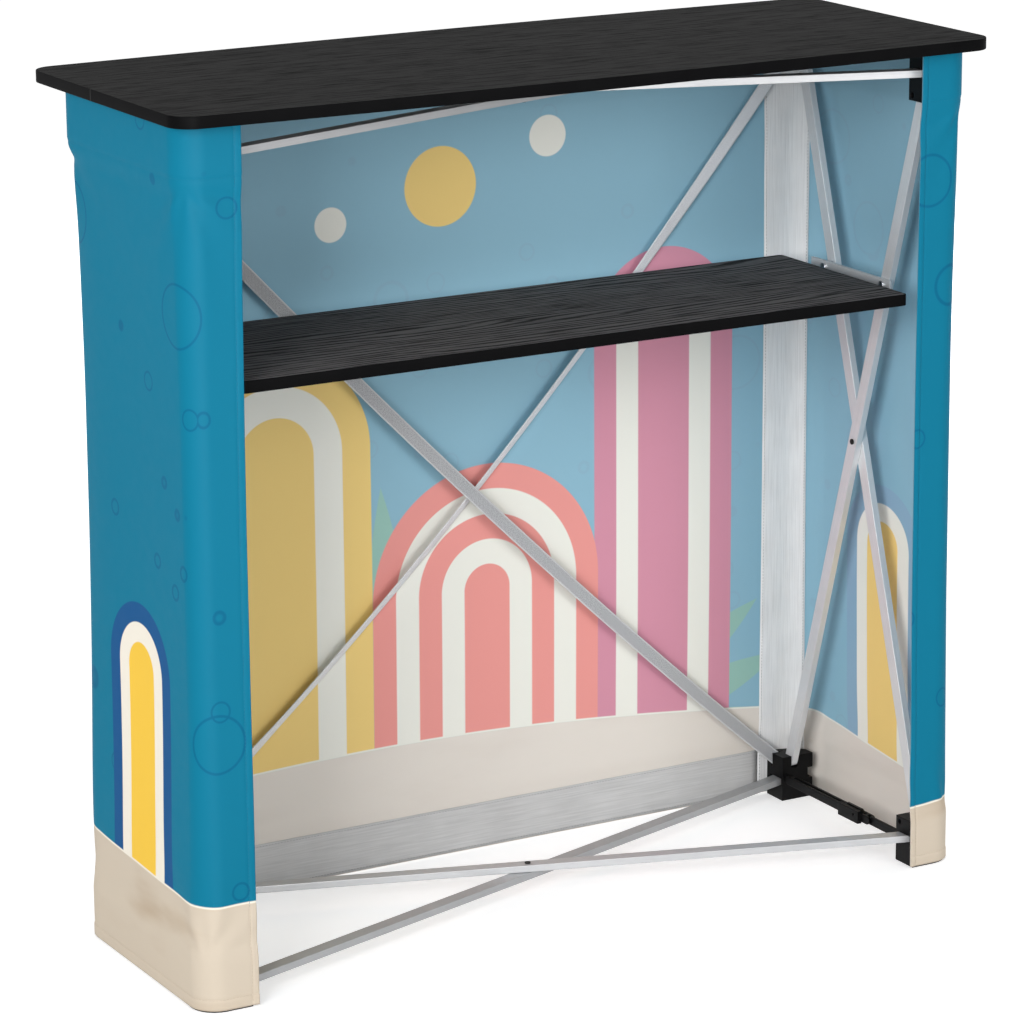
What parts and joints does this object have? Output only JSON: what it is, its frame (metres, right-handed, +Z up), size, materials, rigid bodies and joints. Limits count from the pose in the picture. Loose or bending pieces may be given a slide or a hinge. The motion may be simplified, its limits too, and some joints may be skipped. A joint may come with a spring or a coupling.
{
  "type": "pop-up counter",
  "caption": "Free-standing pop-up counter: crossed-strut frame in a stretch fabric wrap, bowed laminate top that lifts off, and a shelf that draws out of the open back.",
  "frame": {"origin": "on the floor, under the middle of the counter top", "axes": "+X along the counter to the attendant's right, +Y towards the customer's side, +Z up; -Y is the open side"},
  "size_m": [1, 0.393, 0.97],
  "materials": {
    "laminate": "black wood-grain laminate, satin",
    "edge_band": "black edge band, satin",
    "pad": "black rubber, matt",
    "moulding": "black moulded nylon, fine texture",
    "lever": "black moulded plastic",
    "aluminium": "natural anodised extrusion",
    "steel": "zinc plated",
    "fabric": "printed stretch polyester, matt",
    "loop_tape": "silver-grey loop pile",
    "webbing": "grey woven webbing"
  },
  "bodies": {
    "frame": {"connector_lower_near_left": "moulding", "connector_lower_near_right": "moulding", "connector_lower_far_left": "moulding", "connector_lower_far_right": "moulding", "connector_upper_near_left": "moulding", "connector_upper_near_right": "moulding", "connector_upper_far_left": "moulding", "connector_upper_far_right": "moulding", "floor_strut_outer": "aluminium", "floor_strut_inner": "aluminium", "floor_pivot_bolt": "steel", "top_strut_outer": "aluminium", "top_strut_inner": "aluminium", "top_pivot_bolt": "steel", "side_left_strut_outer": "aluminium", "side_left_strut_inner": "aluminium", "side_left_pivot_bolt": "steel", "side_right_strut_outer": "aluminium", "side_right_strut_inner": "aluminium", "side_right_pivot_bolt": "steel", "face_strap_front": "webbing", "face_strap_rear": "webbing", "strap_pin_lower_left": "steel", "strap_pin_lower_right": "steel", "strap_pin_upper_left": "steel", "strap_pin_upper_right": "steel", "shelf_rail_left": "aluminium", "shelf_rail_right": "aluminium", "shelf_rail_bolt_far_left": "steel", "shelf_rail_bolt_far_right": "steel", "shelf_rail_bolt_near_left": "steel", "shelf_rail_bolt_near_right": "steel", "lock_catch_left": "moulding", "lock_catch_right": "moulding", "wrap_flap_left": "fabric", "wrap_flap_right": "fabric", "wrap_side_left": "fabric", "wrap_side_right": "fabric", "wrap_face": "fabric", "loop_tape_upright_left": "loop_tape", "loop_tape_upright_right": "loop_tape", "loop_tape_lower": "loop_tape", "loop_tape_upper": "loop_tape"},
    "counter_top": {"counter_top_board": "laminate", "counter_top_edge_band": "edge_band", "top_pad_near_left": "pad", "top_pad_near_right": "pad", "top_pad_far_left": "pad", "top_pad_far_right": "pad"},
    "shelf": {"shelf_board": "laminate", "shelf_edge_band": "edge_band"},
    "lock_arm_left": {"lock_arm_left": "moulding"},
    "lock_arm_right": {"lock_arm_right": "moulding"},
    "latch_lever_left": {"latch_lever_left": "lever"},
    "latch_lever_right": {"latch_lever_right": "lever"}
  },
  "joints": [
    {"name": "top_lift", "type": "slide", "parent": "frame", "child": "counter_top", "axis": [0, 0, 1], "range_m": [0, 0.25]},
    {"name": "shelf_draw", "type": "slide", "parent": "frame", "child": "shelf", "axis": [0, -1, 0], "range_m": [0, 0.35]},
    {"name": "lock_arm_left_swing", "type": "hinge", "parent": "frame", "child": "lock_arm_left", "pos_m": [-0.4325, 0.1055, 0.029], "axis": [-1, 0, 0], "range_deg": [0, 75]},
    {"name": "lock_arm_right_swing", "type": "hinge", "parent": "frame", "child": "lock_arm_right", "pos_m": [0.4325, 0.1055, 0.029], "axis": [-1, 0, 0], "range_deg": [0, 75]},
    {"name": "latch_lever_left_press", "type": "hinge", "parent": "lock_arm_left", "child": "latch_lever_left", "pos_m": [-0.4325, -0.042, 0.031], "axis": [1, 0, 0], "range_deg": [0, 35], "stiffness_Nm_per_rad": 0.02},
    {"name": "latch_lever_right_press", "type": "hinge", "parent": "lock_arm_right", "child": "latch_lever_right", "pos_m": [0.4325, -0.042, 0.031], "axis": [1, 0, 0], "range_deg": [0, 35], "stiffness_Nm_per_rad": 0.02}
  ]
}
